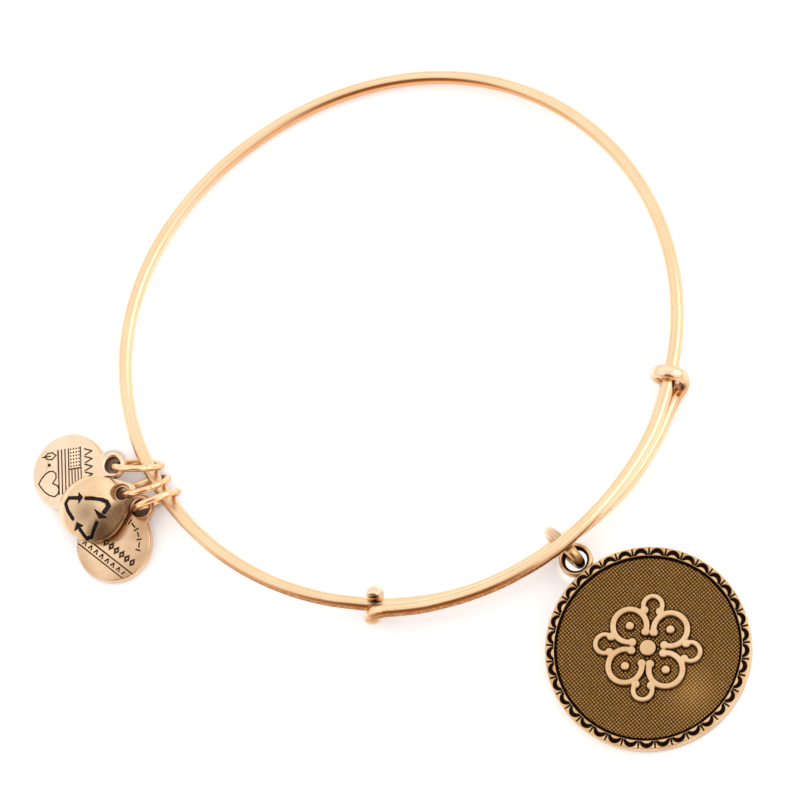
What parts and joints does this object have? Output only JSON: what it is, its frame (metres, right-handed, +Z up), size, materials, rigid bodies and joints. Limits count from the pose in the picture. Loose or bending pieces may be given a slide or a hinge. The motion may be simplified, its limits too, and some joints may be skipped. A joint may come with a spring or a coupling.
{
  "type": "charm bangle",
  "caption": "Copper-gold wire bangle with wrapped end loops, an antiqued round medallion on an oval ring, and a cluster of stamped tag charms on jump rings",
  "frame": {"origin": "the centre of the wrist opening, on the surface that the bangle lies on", "axes": "+Z up from the surface, through the wrist opening; +X and +Y lie in the surface, +X towards the side with the second end loop, away from the cluster of small charms"},
  "size_m": [0.0857, 0.0832, 0.0061],
  "materials": {
    "rose_wire": "satin rose copper-gold plated wire, slightly brushed",
    "antique_gold": "satin tan gold with dark antiqued recesses",
    "pale_gold": "pale peach gold, lightly antiqued in the engraving"
  },
  "bodies": {
    "root": {"bangle_wire": "rose_wire", "medallion": "antique_gold", "medallion_ring": "antique_gold", "upper_ring": "rose_wire", "middle_ring": "rose_wire", "lower_ring": "rose_wire", "upper_tag": "pale_gold", "lower_tag": "antique_gold", "domed_charm": "antique_gold"}
  },
  "joints": []
}
